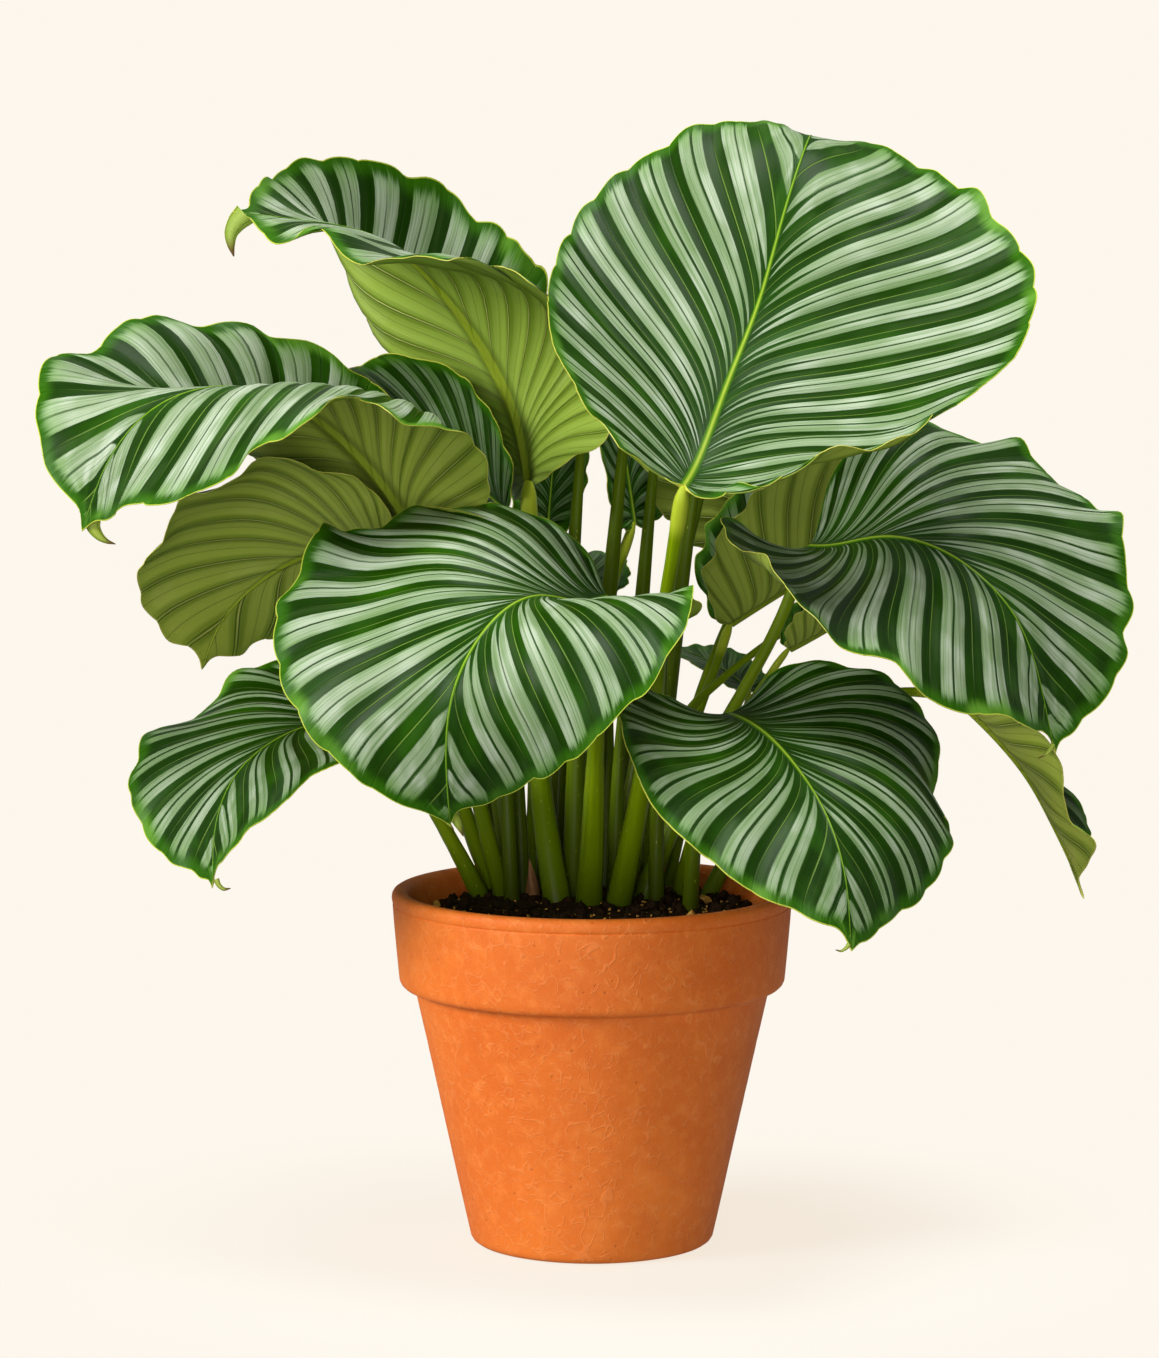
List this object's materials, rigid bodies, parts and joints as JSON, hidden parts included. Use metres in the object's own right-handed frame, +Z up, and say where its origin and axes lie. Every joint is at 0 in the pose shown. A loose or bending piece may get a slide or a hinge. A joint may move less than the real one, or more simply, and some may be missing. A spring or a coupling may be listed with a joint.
{
  "type": "potted striped calathea",
  "caption": "Clump of broad striped leaves on bare stalks rising from soil in a tapered terracotta pot with a deep collar; a decorative indoor plant that stands on a flat surface.",
  "frame": {"origin": "centre of the pot's foot, on the surface it stands on", "axes": "+Z up; +X to the right and +Y away from the viewer, as in the picture"},
  "size_m": [0.5468, 0.3823, 0.5594],
  "materials": {
    "terracotta": "matte",
    "soil": "matte",
    "blade": "satin",
    "stalk": "satin",
    "dry_sheath": "matte"
  },
  "bodies": {
    "root": {"pot": "terracotta", "soil": "soil", "blade_01": "blade", "blade_02": "blade", "blade_03": "blade", "blade_04": "blade", "blade_05": "blade", "blade_06": "blade", "blade_07": "blade", "blade_08": "blade", "blade_09": "blade", "blade_10": "blade", "blade_11": "blade", "blade_12": "blade", "blade_13": "blade", "blade_14": "blade", "blade_15": "blade", "blade_16": "blade", "blade_17": "blade", "blade_18": "blade", "blade_19": "blade", "blade_20": "blade", "blade_21": "blade", "stalk_01": "stalk", "stalk_02": "stalk", "stalk_03": "stalk", "stalk_04": "stalk", "stalk_05": "stalk", "stalk_06": "stalk", "stalk_07": "stalk", "stalk_08": "stalk", "stalk_09": "stalk", "stalk_10": "stalk", "stalk_11": "stalk", "stalk_12": "stalk", "stalk_13": "stalk", "stalk_14": "stalk", "stalk_15": "stalk", "stalk_16": "stalk", "stalk_17": "stalk", "stalk_18": "stalk", "stalk_19": "stalk", "stalk_20": "stalk", "stalk_21": "stalk", "shoot_01": "stalk", "shoot_02": "stalk", "shoot_03": "stalk", "shoot_04": "stalk", "shoot_05": "stalk", "shoot_06": "stalk", "shoot_07": "stalk", "shoot_08": "stalk", "shoot_09": "stalk", "shoot_10": "stalk", "shoot_11": "stalk", "shoot_12": "stalk", "shoot_13": "stalk", "shoot_14": "stalk", "dry_sheath": "dry_sheath"}
  },
  "joints": []
}
